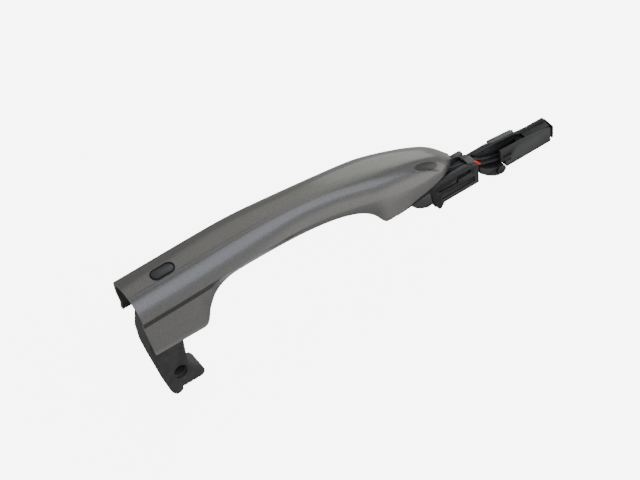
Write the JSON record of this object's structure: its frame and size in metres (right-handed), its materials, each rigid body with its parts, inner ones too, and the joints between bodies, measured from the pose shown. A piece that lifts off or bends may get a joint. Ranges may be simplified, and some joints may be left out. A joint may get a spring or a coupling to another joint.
{
  "type": "car door handle",
  "caption": "Painted pull handle for a car door with a lock button, a hooked rear leg and a pivoting front arm.",
  "frame": {"origin": "centre of the pivot knuckle under the arm, on the axis that the handle swings about in its carrier", "axes": "+X along the handle from the rear leg to the arm, +Z out of the door, +Y across the door"},
  "size_m": [0.2696, 0.035, 0.0814],
  "materials": {
    "paint_grey": "satin metallic paint with fine flake over a moulded shell",
    "black_plastic": "moulded glass-filled nylon, fine grain",
    "grey_plastic": "moulded plastic, satin",
    "button_plastic": "soft satin plastic",
    "rubber": "soft black rubber",
    "steel": "zinc plated",
    "spring_steel": "bright spring steel",
    "brass": "bright",
    "board_green": "green solder mask",
    "chip_black": "moulded epoxy",
    "ferrite": "sintered ferrite, matte",
    "copper": "enamelled copper wire",
    "foil": "copper foil",
    "foam": "closed-cell foam",
    "red_cable": "red PVC insulation",
    "black_cable": "black PVC insulation"
  },
  "bodies": {
    "handle": {"grip_shell": "paint_grey", "grip_inner": "black_plastic", "button_bezel": "rubber", "button_spring": "spring_steel", "switch_body": "chip_black", "circuit_board": "board_green", "board_parts": "chip_black", "module_tray": "black_plastic", "antenna_holder": "black_plastic", "ferrite_rod": "ferrite", "antenna_coil": "copper", "sensor_plate": "foil", "rear_leg": "black_plastic", "hook_bumper": "rubber", "leg_screws": "steel", "leg_pad": "foam", "front_bracket": "black_plastic", "front_gasket": "rubber", "front_buffer": "rubber", "guide_block": "grey_plastic", "bracket_screws": "steel", "pivot_arm": "black_plastic", "arm_cover": "grey_plastic", "slide_strip": "grey_plastic", "arm_cap": "black_plastic", "plug_housing": "black_plastic", "plug_terminals": "brass", "wire_clip": "grey_plastic", "red_lead": "red_cable", "black_lead": "black_cable"},
    "button": {"lock_button": "button_plastic"},
    "plunger": {"switch_plunger": "brass"}
  },
  "joints": [
    {"name": "button_press", "type": "slide", "parent": "handle", "child": "button", "axis": [0, 0, -1], "range_m": [0, 0.0008], "stiffness_N_per_m": 2000, "deforming": ["button_spring"]},
    {"name": "plunger_press", "type": "slide", "parent": "handle", "child": "plunger", "axis": [0, 0, -1], "range_m": [0, 0.0008], "stiffness_N_per_m": 400}
  ],
  "couplings": [
    {"joint": "plunger_press", "follows": "button_press", "ratio": 1}
  ]
}
